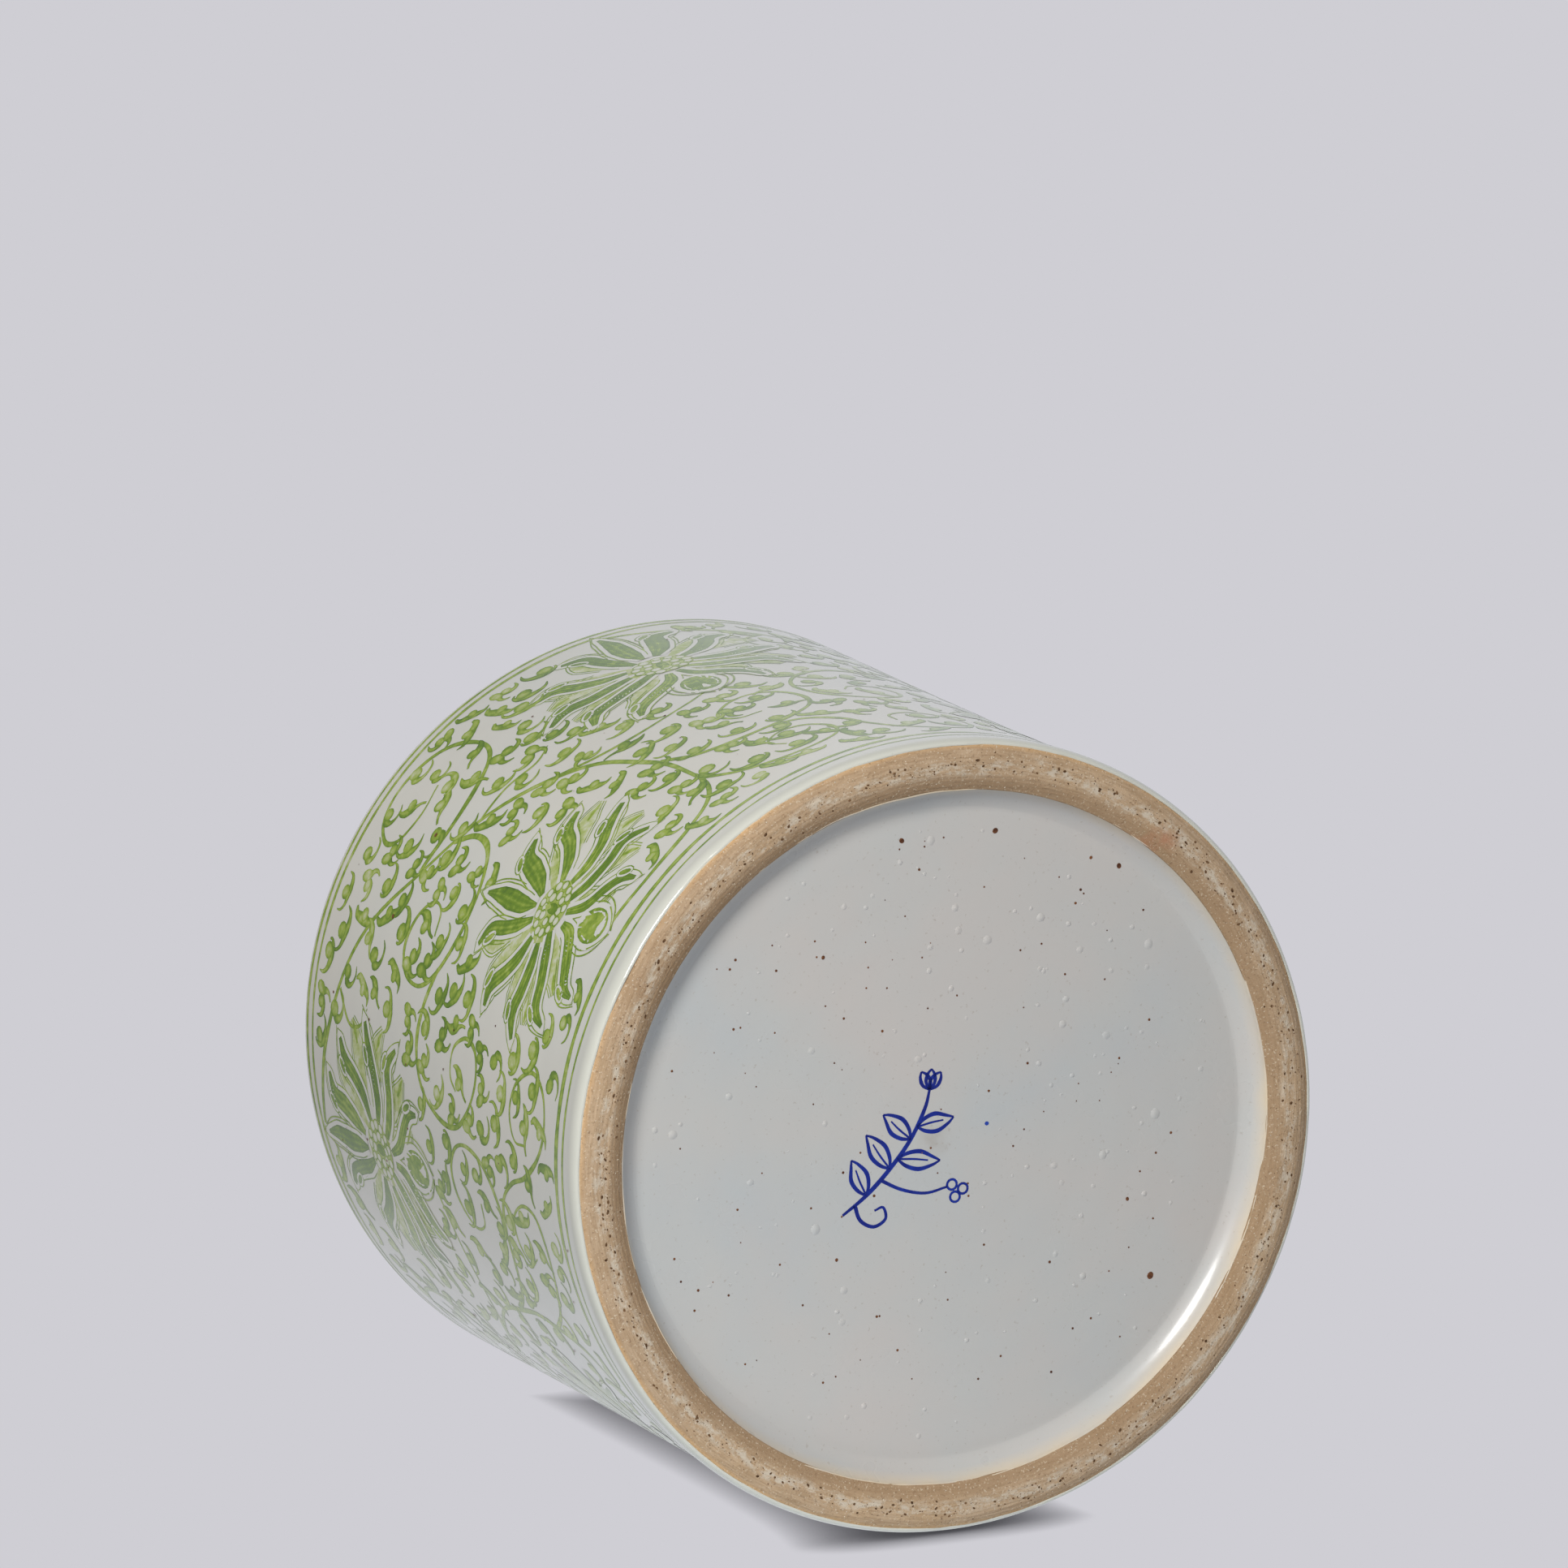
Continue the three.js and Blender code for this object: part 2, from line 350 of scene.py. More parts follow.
def biscuit_material():
    s = Shader("biscuit", Specular_IOR_Level=0.25)
    radius = s.radius()
    around = s.add("VectorMath", (0, s.place()), operation="NORMALIZE"), 0

    def streaks(along, across, detail=3.0, roughness=0.6):
        """Noise drawn out round the pot: scales along and across the ring."""
        apart = s.add("SeparateXYZ", ("Vector", around))
        place = s.add("CombineXYZ", (0, s.maths("MULTIPLY", (apart, 0), along)),
                      (1, s.maths("MULTIPLY", (apart, 1), along)), (2, s.maths("MULTIPLY", radius, across)))
        return s.noise(1.0, detail, roughness, at=(place, 0))

    broad = s.noise(13, 3, 0.55)
    tone = s.ramp(broad, [(0.30, (0.37, 0.25, 0.15)), (0.5, (0.46, 0.325, 0.205)),
                          (0.70, (0.53, 0.36, 0.205))])
    cloud = s.noise(90, 4, 0.65)
    tone = s.mix(s.span(cloud, 0.35, 0.65, 0, 0.45), tone, (0.60, 0.46, 0.32))
    lines = streaks(14, 2400, 2)
    tone = s.mix(s.span(lines, 0.38, 0.66, 0.0, 0.50), tone, (0.31, 0.20, 0.105))
    # the inner bevel is darker, the outer one lighter and flashed orange next to the glaze
    inner = s.span(radius, (CONTACT_INSIDE - 2.2) * MM, (CONTACT_INSIDE + 0.6) * MM, 0.65, 0)
    tone = s.mix(inner, tone, (0.33, 0.215, 0.12))
    flash = s.span(radius, (FOOT_EDGE - 1.3) * MM, (FOOT_EDGE - 0.2) * MM, 0, 1)
    flash = s.maths("MULTIPLY", flash, s.span(s.noise(24), 0.35, 0.6, 0.15, 0.75))
    tone = s.mix(flash, tone, (0.66, 0.40, 0.18))
    rim = s.span(radius, (FOOT_EDGE - 0.35) * MM, (FOOT_EDGE - 0.1) * MM, 0, 0.6)
    tone = s.mix(rim, tone, (0.74, 0.62, 0.44))
    # the contact line is worn pale, in long wandering patches
    wander = s.maths("MULTIPLY", s.maths("SUBTRACT", streaks(5, 0, 1), 0.5), 0.0055)
    track = s.maths("ADD", radius, wander)
    worn = s.maths("MULTIPLY", s.span(track, (CONTACT_INSIDE - 1.0) * MM, (CONTACT_INSIDE + 0.8) * MM),
                   s.span(track, (CONTACT_OUTSIDE - 0.8) * MM, (CONTACT_OUTSIDE + 0.6) * MM, 1, 0))
    worn = s.maths("MULTIPLY", worn, s.span(streaks(22, 520, 5, 0.72), 0.46, 0.60, 0, 0.62))
    tone = s.mix(worn, tone, (0.66, 0.61, 0.51))
    rust = s.maths("MULTIPLY", s.span(s.noise(19, 2), 0.66, 0.72, 0, 0.5), s.span(s.noise(160, 3), 0.4, 0.6))
    tone = s.mix(rust, tone, (0.44, 0.14, 0.07))
    grain = s.noise(1500, 3, 0.7)
    tone = s.mix(s.span(grain, 0.56, 0.70, 0, 0.6), tone, (0.17, 0.10, 0.05))
    tone = s.mix(s.span(s.noise(1900, 2), 0.60, 0.70, 0, 0.5), tone, (0.76, 0.67, 0.52))
    rough = s.height(grain, 0.00025, 0.5)
    rough = s.height(lines, 0.0003, 0.35, over=rough)
    return s.finish(tone, rough, s.span(s.noise(200), 0.3, 0.7, 0.72, 0.92))


GREEN = [(0.0, (0.62, 0.64, 0.50)), (0.15, (0.51, 0.56, 0.27)), (0.40, (0.32, 0.43, 0.045)),
         (0.66, (0.145, 0.262, 0.003)), (1.0, (0.070, 0.160, 0.001))]
COBALT = [(0.0, (0.25, 0.32, 0.50)), (0.25, (0.03, 0.08, 0.42)), (0.55, (0.006, 0.030, 0.32)),
          (1.0, (0.003, 0.014, 0.20))]


def painted(name, stops, under, peel):
    """Paint whose thickness is in the paint attribute: dark where it pools, pale where it thins,
    and none at all at zero, where the glaze under it shows."""
    s = Shader(name, Coat_Weight=0.6, Coat_Roughness=0.06, Specular_IOR_Level=0.5)
    density = s.add("Attribute", attribute_name="paint"), "Fac"
    wash = s.maths("MULTIPLY", s.maths("SUBTRACT", s.noise(420, 3, 0.6), 0.5), 0.9)
    broad = s.maths("MULTIPLY", s.maths("SUBTRACT", s.noise(75, 2, 0.5), 0.5), 0.6)
    tone = s.ramp(s.maths("ADD", density, s.maths("ADD", wash, broad), clamp=True), stops)
    tone = s.mix(s.span(density, 0.01, 0.10), under(s), tone)
    return s.finish(tone, peel(s), s.span(s.noise(60), 0.05, 0.95, 0.11, 0.31))


def stage_material(name, shadow):
    """A pale glowing surface that shows only its front, with a painted contact shadow where the pot
    comes close to it. The painted shadow fades out beside the rim."""
    s = Shader(name)
    s.tree.nodes.remove(s.surface)
    # painted contact shadow: ambient occlusion near the pot darkens the glow, except beside the rim
    close = s.add("AmbientOcclusion", ("Distance", shadow), samples=16), "AO"
    light = s.maths("MAXIMUM", s.span(close, 0.04, 0.90, 0.05, 1),
                    s.span(s.z(), (RIM_Z - 24) * MM, (RIM_Z - 3) * MM))
    glow = s.add("Emission", ("Color", s.mix(light, (0.02, 0.02, 0.025), BACKGROUND)))
    back = s.add("NewGeometry"), "Backfacing"
    shown = s.add("MixShader", (0, back), (1, glow), (2, s.add("BsdfTransparent")))
    s.join(s.tree.nodes["Material Output"], "Surface", shown)
    return s.material


# ---------------------------------------------------------------- camera, stage and light

BACKGROUND = (0.624, 0.617, 0.658)
SIDE = Vector((-1, 1, 0)).normalized()        # the side of the wall that the pot lies on


def aim(item, location, target, up):
    """Stands an object at a place, looking at a target, with up towards the top of its picture."""
    back = (location - target).normalized()
    right = up.cross(back).normalized()
    turn = Matrix((right, back.cross(right), back)).transposed().to_4x4()
    item.matrix_world = Matrix.Translation(location) @ turn


def add_camera():
    """Looks at the underside of the pot lying on its side, foot to the lower right."""
    data = bpy.data.cameras.new("camera")
    data.lens = 158.4
    data.sensor_width = 36
    camera = bpy.data.objects.new("camera", data)
    bpy.context.scene.collection.objects.link(camera)
    aim(camera, Vector((-0.20718, -0.72033, -1.41620)), Vector((0.04808, -0.04772, 0.10008)),
        Vector((0.7455, -0.6467, 0.1614)))
    bpy.context.scene.camera = camera


def add_surface(name, corners, shadow):
    mesh = bpy.data.meshes.new(name)
    mesh.from_pydata([tuple(c) for c in corners], [], [(0, 1, 2, 3)])
    mesh.materials.append(stage_material(name, shadow))
    surface = bpy.data.objects.new(name, mesh)
    bpy.context.scene.collection.objects.link(surface)
    for kind in ("diffuse", "glossy", "transmission", "volume_scatter", "shadow"):
        setattr(surface, "visible_" + kind, False)


def add_stage():
    """The table that the pot lies on, along its side, and the table that it would stand on."""
    reach = 4.0
    across = Vector((1, 1, 0)).normalized()
    foot = SIDE * (FOOT_RADIUS + 0.4) * MM
    rim = SIDE * (RIM_RADIUS + 0.4) * MM
    lean = (rim - foot + Vector((0, 0, RIM_Z * MM))).normalized()
    across, lean = across * reach, lean * reach
    add_surface("side_table", [foot - across - lean, foot + across - lean, foot + across + lean,
                               foot - across + lean], 0.009)
    below = -0.0002
    add_surface("table", [(-reach, -reach, below), (reach, -reach, below), (reach, reach, below),
                          (-reach, reach, below)], 0.03)


def add_light(name, direction, distance, size, power, colour=(1, 1, 1), shine=False):
    data = bpy.data.lights.new(name, "AREA")
    data.shape = "DISK"
    data.size = size
    data.energy = power
    data.color = colour
    light = bpy.data.objects.new(name, data)
    light.visible_glossy = shine
    bpy.context.scene.collection.objects.link(light)
    centre = Vector((0, 0, RIM_Z * MM / 2))
    up = Vector((0.3, 0.2, 1))
    aim(light, centre + Vector(direction).normalized() * distance, centre, up)


def add_lights():
    add_light("key", (-0.05, -0.75, -0.65), 1.3, 0.5, 14.6, (1.0, 0.985, 0.955), shine=True)
    add_light("bounce", (-0.72, 0.25, -0.65), 0.3, 0.25, 0.17, (0.82, 0.91, 1.0))
    add_light("top", (0.2, -0.1, 1.0), 1.5, 1.2, 15.0)
    add_light("back", (-0.6, 0.9, 0.5), 1.6, 1.0, 8.0)


def add_world():
    """Plain to the camera. The pot sees a pale backdrop round it and a darker room in front."""
    world = bpy.data.worlds.new("world")
    bpy.context.scene.world = world
    world.use_nodes = True
    tree = world.node_tree
    new, link = tree.nodes.new, tree.links.new
    place = new("ShaderNodeTexCoord")
    toward = new("ShaderNodeVectorMath")
    toward.operation = "DOT_PRODUCT"
    toward.inputs[1].default_value = (-0.318, -0.836, -0.447)
    link(place.outputs["Generated"], toward.inputs[0])
    room = new("ShaderNodeValToRGB")
    band = room.color_ramp
    band.interpolation = "EASE"
    band.elements[0].position = 0.20
    band.elements[0].color = (0.64, 0.65, 0.68, 1)
    band.elements[1].position = 0.46
    band.elements[1].color = (0.18, 0.18, 0.195, 1)
    share = new("ShaderNodeMapRange")
    share.inputs["From Min"].default_value = -1
    link(toward.outputs["Value"], share.inputs["Value"])
    link(share.outputs[0], room.inputs["Fac"])
    seen = new("ShaderNodeLightPath")
    pick = new("ShaderNodeMix")
    pick.data_type = "RGBA"
    pick.inputs[7].default_value = (*BACKGROUND, 1)
    link(seen.outputs["Is Camera Ray"], pick.inputs[0])
    link(room.outputs["Color"], pick.inputs[6])
    link(pick.outputs[2], tree.nodes["Background"].inputs["Color"])


# ---------------------------------------------------------------- clay and glaze

def glaze_edge_wander(angle):
    """The ragged lower edge of the outside glaze, in millimetres up or down."""
    return ripple(angle, 5, [(3, 0.12), (7, 0.12), (13, 0.10), (29, 0.07), (53, 0.05), (97, 0.03)])


def add_outside_glaze(material):
    zs = np.concatenate([GLAZE_EDGE_Z + np.array([0.12, 0.3, 0.55, 0.9, 1.4, 2.0, 2.7, 3.4, 4.4, 5.6]),
                         np.arange(8.8, LIP_Z - 0.8, 1.6), [LIP_Z]])
    outer = np.stack([outside_radius(zs), zs], -1)
    lip = outside_radius(LIP_Z) - LIP_RADIUS
    crown = arc(lip, LIP_Z, LIP_RADIUS, 0, 88, 9)[1:]
    crown_back = arc(lip, LIP_Z, LIP_RADIUS - GLAZE, 88, 0, 5)
    back_zs = np.linspace(LIP_Z, GLAZE_EDGE_Z + 1.0, 24)[1:]
    back = np.stack([outside_radius(back_zs) - GLAZE, back_zs], -1)
    edge = [[FOOT_EDGE - 0.36, GLAZE_EDGE_Z + 0.16], [FOOT_EDGE - 0.14, GLAZE_EDGE_Z - 0.02]]

    def wobble(angle, radius, z):
        near_edge = np.exp(-np.maximum(0, z - GLAZE_EDGE_Z) / 1.2)
        return radius + hand(angle, z), z + glaze_edge_wander(angle) * near_edge

    piece = revolve("outside_glaze_coat", np.vstack([edge, outer, crown, crown_back, back]), 512,
                    material, wobble)
    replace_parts(piece, "outside_glaze")


def add_inside_glaze(material):
    lip = outside_radius(LIP_Z) - LIP_RADIUS
    cove_z = FLOOR_Z + COVE
    inside = lambda z: outside_radius(z) - WALL_THICK
    cove_radius = inside(cove_z) - COVE
    floor = np.stack([np.linspace(0, cove_radius, 28), np.full(28, FLOOR_Z)], -1)
    zs = np.linspace(cove_z, LIP_Z, 90)[1:]
    wall = np.stack([inside(zs), zs], -1)
    crown = arc(lip, LIP_Z, LIP_RADIUS, 180, 88.6, 9)[1:]
    crown_back = arc(lip, LIP_Z, LIP_RADIUS - GLAZE, 88.6, 180, 5)
    back_zs = np.linspace(LIP_Z, cove_z, 12)[1:]
    back = np.stack([inside(back_zs) + GLAZE, back_zs], -1)
    outline = np.vstack([floor, arc(cove_radius, cove_z, COVE, -90, 0, 8)[1:], wall, crown, crown_back, back,
                         arc(cove_radius, cove_z, COVE + GLAZE, 0, -90, 6)[1:], [[0, FLOOR_Z - GLAZE]]])

    def wobble(angle, radius, z):
        spiral = 0.10 * np.sin(TAU * radius / 9 - angle) * np.exp(-((radius - 40) / 34) ** 2)
        on_floor = (np.abs(z - FLOOR_Z) < 0.01) & (radius < cove_radius)
        up = np.clip((z - cove_z) / 20, 0, 1)
        return radius + hand(angle, z) * up, z + np.where(on_floor, spiral, 0)

    piece = revolve("inside_glaze_coat", outline, 384, material, wobble)
    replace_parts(piece, "inside_glaze")


def add_underside_glaze(material):
    drop = CEILING_Z - HOLLOW_EDGE_Z
    run = HOLLOW_EDGE - HOLLOW_CORNER
    turn = np.linspace(0, math.pi / 2, 12)[1:]
    cove = np.array([(0.35, -0.10), (1.0, -0.42), (2.0, -1.0), (3.0, -1.75), (3.8, -2.6), (4.4, -3.5),
                     (4.8, -4.4), (4.95, -5.0), (5.0, -drop)]) + (HOLLOW_CREASE, CEILING_Z)
    edge = [[HOLLOW_EDGE + 0.16, HOLLOW_EDGE_Z - 0.12], [HOLLOW_EDGE + 0.42, HOLLOW_EDGE_Z + 0.05]]
    back = np.stack([HOLLOW_CORNER + (run + GLAZE) * np.sin(turn[::-1]),
                     HOLLOW_EDGE_Z + (drop + GLAZE) * np.cos(turn[::-1])], -1)
    disc = np.stack([np.linspace(0, HOLLOW_CREASE, 78), np.full(78, CEILING_Z)], -1)
    outline = np.vstack([disc, cove, edge, back, [[0, CEILING_Z + GLAZE]]])

    def wobble(angle, radius, z):
        place = np.stack([radius * np.cos(angle), radius * np.sin(angle)], -1)
        front = (z < CEILING_Z + 0.01)
        flat = front & (radius < HOLLOW_CREASE + 0.01)
        z = np.where(flat, hollow_z(place), z)
        near = np.exp(-np.maximum(0, z - HOLLOW_EDGE_Z) / 1.0) * front
        wave = ripple(angle, 8, [(4, 0.18), (9, 0.12), (17, 0.08), (41, 0.05)])
        return radius + wave * near, z

    piece = revolve("underside_glaze_coat", outline, 512, material, wobble)
    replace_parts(piece, "underside_glaze")


def bevel(a, b, crown, steps):
    """Points from a to b, bulging downwards by crown halfway."""
    share = np.linspace(0, 1, steps)[:, None]
    line = np.array(a) * (1 - share) + np.array(b) * share
    line[:, 1] -= crown * np.sin(np.pi * share[:, 0])
    return line


RING = np.vstack([bevel([FOOT_EDGE - 0.1, GLAZE_EDGE_Z + 0.2], [CONTACT_OUTSIDE, 0.05], 0.35, 14),
                  bevel([CONTACT_OUTSIDE - 0.4, 0.0], [CONTACT_INSIDE + 0.4, 0.0], 0, 9),
                  bevel([CONTACT_INSIDE, 0.05], [HOLLOW_EDGE - 0.05, HOLLOW_EDGE_Z + 0.05], 0.25, 14)])


def ring_height(angle, radius, z):
    """Height of the turned, worn underside of the foot ring, from its true height z."""
    tool = 0.040 * np.sin(TAU * radius / 1.15) + 0.03 * np.sin(TAU * radius / 0.63 + angle)
    worn = ripple(angle, 21, [(3, 0.05), (8, 0.05), (19, 0.04), (43, 0.03), (87, 0.02)])
    return np.maximum(z + np.where(z > 0.02, tool + worn, np.abs(tool + worn) * 0.5), 0)


def add_foot_ring(material):
    """Unglazed: an outer bevel, the worn flat that the pot stands on, and an inner bevel."""
    top = CEILING_Z + 0.3
    outline = np.vstack([[[FOOT_EDGE - 0.6, GLAZE_EDGE_Z + 1.6]], RING,
                         [[HOLLOW_EDGE - 0.05, HOLLOW_EDGE_Z + 0.5], [HOLLOW_EDGE + 0.9, HOLLOW_EDGE_Z + 0.9],
                          [HOLLOW_EDGE + 0.9, top], [FOOT_EDGE - 0.3, top]]])

    def wobble(angle, radius, z):
        shown = (z < HOLLOW_EDGE_Z + 0.2) & (radius > HOLLOW_EDGE - 0.1)
        return radius, np.where(shown, ring_height(angle, radius, z), z)

    piece = revolve("foot_ring_biscuit", outline, 720, material, wobble)
    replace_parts(piece, "foot_ring")


# ---------------------------------------------------------------- brush work

GIRTH = 95.6                                  # radius at which lengths round the wall are measured
RING_MIDDLE = (CONTACT_OUTSIDE + CONTACT_INSIDE) / 2


class Brush:
    """Collects painted shapes. A shape's points are (along, height) in millimetres on a surface."""

    def __init__(self, surface):
        self.surface = surface
        self.points, self.lifts, self.densities, self.faces = [], [], [], []
        self.count = 0

    def add(self, points, faces, density, lift):
        start = self.count
        self.count += len(points)
        self.points.append(points)
        self.lifts.append(np.broadcast_to(lift, len(points)))
        self.densities.append(density)
        self.faces += [tuple(start + i for i in face) for face in faces]

    def stroke(self, path, widths, profile, lift=0.03, ends=(0, 0)):
        """A ribbon along a path. profile is its densities across; ends adds some at its start and end."""
        path = np.asarray(path, float)
        normal = sideways(path)
        across = np.linspace(-1, 1, len(profile))
        half = np.broadcast_to(np.asarray(widths, float), len(path)) / 2
        points = path[:, None] + normal[:, None] * (half[:, None] * across)[..., None]
        along = np.linspace(0, 1, len(path))[:, None]
        density = np.asarray(profile, float)[None] + ends[0] * (1 - along) ** 3 + ends[1] * along ** 3
        count = len(across)
        faces = [(i * count + j, (i + 1) * count + j, (i + 1) * count + j + 1, i * count + j + 1)
                 for i in range(len(path) - 1) for j in range(count - 1)]
        self.add(points.reshape(-1, 2), faces, density.ravel(), lift)

    def blob(self, centre, radii, turn, middle, edge, lift=0.03, sides=12, dome=0.0):
        """A round dab with its own density in the middle and at the edge. dome swells its middle."""
        angle = np.linspace(0, TAU, sides, endpoint=False)
        ring = np.stack([np.cos(angle), np.sin(angle)], -1)
        spin = np.array([[math.cos(turn), math.sin(turn)], [-math.sin(turn), math.cos(turn)]])
        points = np.vstack([np.zeros((1, 2)), ring * 0.6, ring]) * np.array(radii) @ spin + np.array(centre)
        pairs = [(1 + i, 1 + (i + 1) % sides) for i in range(sides)]
        faces = [(0, this, after) for this, after in pairs]
        faces += [(this, sides + this, sides + after, after) for this, after in pairs]
        density = np.concatenate([[middle], np.full(sides, middle * 0.7 + edge * 0.3), np.full(sides, edge)])
        lifts = lift + dome * np.concatenate([[1], np.full(sides, 0.66), np.zeros(sides)])
        self.add(points, faces, density, lifts)

    def ring(self, centre, radius, width, density, lift=0.03, sides=12):
        angle = np.linspace(0, TAU, sides + 1)
        path = np.stack([np.cos(angle), np.sin(angle)], -1) * radius + np.array(centre)
        self.stroke(path, width, [density] * 3, lift)

    def build(self, name, material, slot, flat=True):
        points = np.vstack(self.points)
        place, normal = self.surface(points, np.concatenate(self.lifts))
        corner = np.array([f[:3] for f in self.faces])
        a, b, c = (place[corner[:, i]] for i in range(3))
        facing = (np.cross(b - a, c - a) * normal[corner[:, 0]]).sum(1)
        faces = [f if front >= 0 else f[::-1] for f, front in zip(self.faces, facing)]
        density = np.clip(np.concatenate(self.densities), 0, 1)
        return add_object(name, place, faces, material, attributes={"paint": density},
                          normals=normal if flat else None)


def sideways(path):
    """The unit direction to the left of a path, at each of its points."""
    heading = np.gradient(np.asarray(path, float), axis=0)
    heading /= np.maximum(np.linalg.norm(heading, axis=1), 1e-9)[:, None]
    return np.stack([-heading[:, 1], heading[:, 0]], -1)


def wall_surface(points, lifts):
    """Where painted points lie on the wall, and which way the wall faces there."""
    angle, z = points[:, 0] / GIRTH, points[:, 1]
    slope = outside_radius(z + 0.5) - outside_radius(z - 0.5)
    normal = np.stack([np.cos(angle), np.sin(angle), -slope], -1)
    return on_wall(angle, z, lifts), normal / np.linalg.norm(normal, axis=1)[:, None]


def hollow_surface(points, lifts):
    """Where points given to the right of and above the middle of the underside lie on it."""
    turn = math.sqrt(0.5)
    place = np.stack([points[:, 0] + points[:, 1], points[:, 0] - points[:, 1]], -1) * turn
    z = hollow_z(place) - lifts
    return np.column_stack([place, z]) * MM, np.repeat([[0.0, 0.0, -1.0]], len(points), 0)


def ring_surface(points, lifts):
    """Where points given along the foot ring and out from its middle circle lie on its underside."""
    radius = RING_MIDDLE + points[:, 1]
    angle = points[:, 0] / RING_MIDDLE
    z = ring_height(angle, radius, np.interp(radius, RING[::-1, 0], RING[::-1, 1])) - lifts
    place = np.stack([radius * np.cos(angle), radius * np.sin(angle), z], -1) * MM
    return place, np.repeat([[0.0, 0.0, -1.0]], len(points), 0)


def smooth(points, steps=6):
    """A curve through points (Catmull-Rom), with steps to each stretch."""
    p = np.asarray(points, float)
    p = np.vstack([2 * p[0] - p[1], p, 2 * p[-1] - p[-2]])
    t = np.linspace(0, 1, steps, endpoint=False)[:, None]
    out = [0.5 * (2 * b + (c - a) * t + (2 * a - 5 * b + 4 * c - d) * t ** 2
                  + (3 * b - a - 3 * c + d) * t ** 3)
           for a, b, c, d in zip(p[:-3], p[1:-2], p[2:-1], p[3:])]
    return np.vstack(out + [p[-2:-1]])


def swell(widths, count):
    """Widths along a stroke, eased between the ones given."""
    given = np.asarray(widths, float)
    return np.interp(np.linspace(0, len(given) - 1, count), np.arange(len(given)), given)


# ---------------------------------------------------------------- the flower scroll
# Places are (across, height) in mm, across counted round the wall from the middle of a lower flower.
# The points of VINES and PETALS, and the places of the flowers, were read off a flattened view
# # of the photograph, so they follow the strokes on the real pot. The places of the leaves are random.

PERIOD = TAU * GIRTH / 4
FIRST_FLOWER = math.radians(257.9) * GIRTH
LOWER_FLOWER = (0, 53.6)
UPPER_FLOWER = (PERIOD / 2, 128.0)
FOOT_LINES = {"enamel_line_foot_low": (8.8, 1.0), "enamel_line_foot_high": (13.2, 1.8)}
RIM_LINES = {"enamel_line_rim_low": (LIP_Z - 4.2, 1.2), "enamel_line_rim_high": (LIP_Z - 1.0, 1.1)}

VINES = [
    # the stem that runs down from an upper flower and round to the foot of a lower one
    (1.5, [(-77, 164), (-66, 160.5), (-52, 156), (-27, 146), (-2, 123.5), (28, 99), (42, 77), (47.5, 52),
           (43, 32), (32, 22.5), (17, 19), (3, 20.5)]),
    (1.1, [(28, 99), (38, 91.5), (50, 88.5), (64, 91), (75, 96.5)]),
    # curls
    (1.5, [(-5, 126.5), (8, 124), (19, 126.5), (27, 133), (29.5, 143), (26.5, 153), (19.5, 159),
           (9, 161.5), (0.5, 159), (-3.5, 152), (-1, 145.5), (7, 142.5), (15, 145)]),
    (1.4, [(5, 117.5), (8, 109), (7, 101), (1.5, 95), (-7, 91.5), (-17, 92.5), (-26, 98), (-30.5, 106),
           (-29, 114.5), (-22.5, 119.5), (-15, 118), (-10.5, 112), (-12, 106.5), (-18, 105)]),
    (1.3, [(-25, 97.5), (-34, 100.5), (-43, 101), (-51.5, 97.5), (-57.5, 91), (-60, 82), (-58, 73),
           (-52, 66.5), (-45, 64), (-38.5, 66.5), (-36.5, 73), (-40.5, 79), (-47, 79), (-50, 75)]),
    (1.3, [(46, 66), (53, 57), (64, 52.5), (76, 53.5), (85, 60), (88, 69), (85.5, 77), (79, 81.5),
           (71.5, 80), (66.5, 73.5), (69, 66.5), (75, 65.5)]),
    (1.1, [(47, 42), (52.5, 33.5), (61, 28), (70, 27), (78, 30.5), (80.5, 38), (77, 44.5), (70.5, 45.5),
           (65, 41), (67, 35.5)]),
    (1.2, [(70, 52.6), (79.5, 50), (85.5, 43), (88, 34), (93.5, 26), (101, 22), (109, 24), (113, 32),
           (110, 40), (103, 43), (96.5, 40), (95.5, 34)]),
    (0.9, [(-40, 151), (-47, 143), (-46, 136), (-41, 133)]),
    (0.9, [(12, 112.5), (22, 113.5), (31, 112), (37, 116)]),
]

